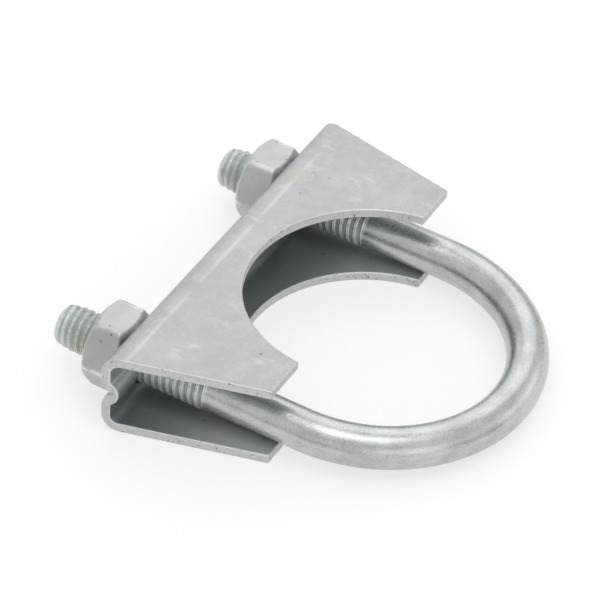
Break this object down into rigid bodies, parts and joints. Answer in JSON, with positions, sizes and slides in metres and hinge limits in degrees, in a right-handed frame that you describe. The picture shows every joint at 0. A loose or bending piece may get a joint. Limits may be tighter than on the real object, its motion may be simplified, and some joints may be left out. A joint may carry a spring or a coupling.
{
  "type": "u-bolt",
  "caption": "U-bolt pipe clamp: a bent round rod with threaded legs through a pressed channel saddle with a round seat, closed by hex nuts.",
  "frame": {"origin": "centre of the pipe seat, on the pipe's axis at half the saddle's height", "axes": "+Z along the pipe's axis, +X along the legs towards the bend as seen from above, +Y from the near leg to the far leg; the saddle's lower flange and the bend rest on the plane Z = -8.65 mm"},
  "size_m": [0.0831, 0.0834, 0.0174],
  "materials": {
    "rod_zinc": "bright zinc plate, satin, mottled",
    "sheet_zinc": "bright zinc plate on pressed sheet, satin, with raw sheared edges",
    "nut_zinc": "bright zinc plate, smooth, with small pits"
  },
  "bodies": {
    "u_bolt": {"u_bolt": "rod_zinc"},
    "saddle": {"saddle": "sheet_zinc"},
    "near_nut": {"near_nut": "nut_zinc"},
    "far_nut": {"far_nut": "nut_zinc"}
  },
  "joints": [
    {"name": "saddle_slide", "type": "slide", "parent": "u_bolt", "child": "saddle", "axis": [0.9987, 0, -0.0507], "range_m": [-0.006, 0.015]},
    {"name": "near_nut_turn", "type": "hinge", "parent": "saddle", "child": "near_nut", "pos_m": [-0.03783, -0.02827, -0.00088], "axis": [0.9987, 0, -0.0507], "range_deg": [-1440, 3600]},
    {"name": "far_nut_turn", "type": "hinge", "parent": "saddle", "child": "far_nut", "pos_m": [-0.03783, 0.02827, -0.00088], "axis": [0.9987, 0, -0.0507], "range_deg": [-1440, 3600]}
  ],
  "couplings": [
    {"joint": "near_nut_turn", "follows": "saddle_slide", "rad_per_m": 4188.8},
    {"joint": "far_nut_turn", "follows": "saddle_slide", "rad_per_m": 4188.8}
  ]
}
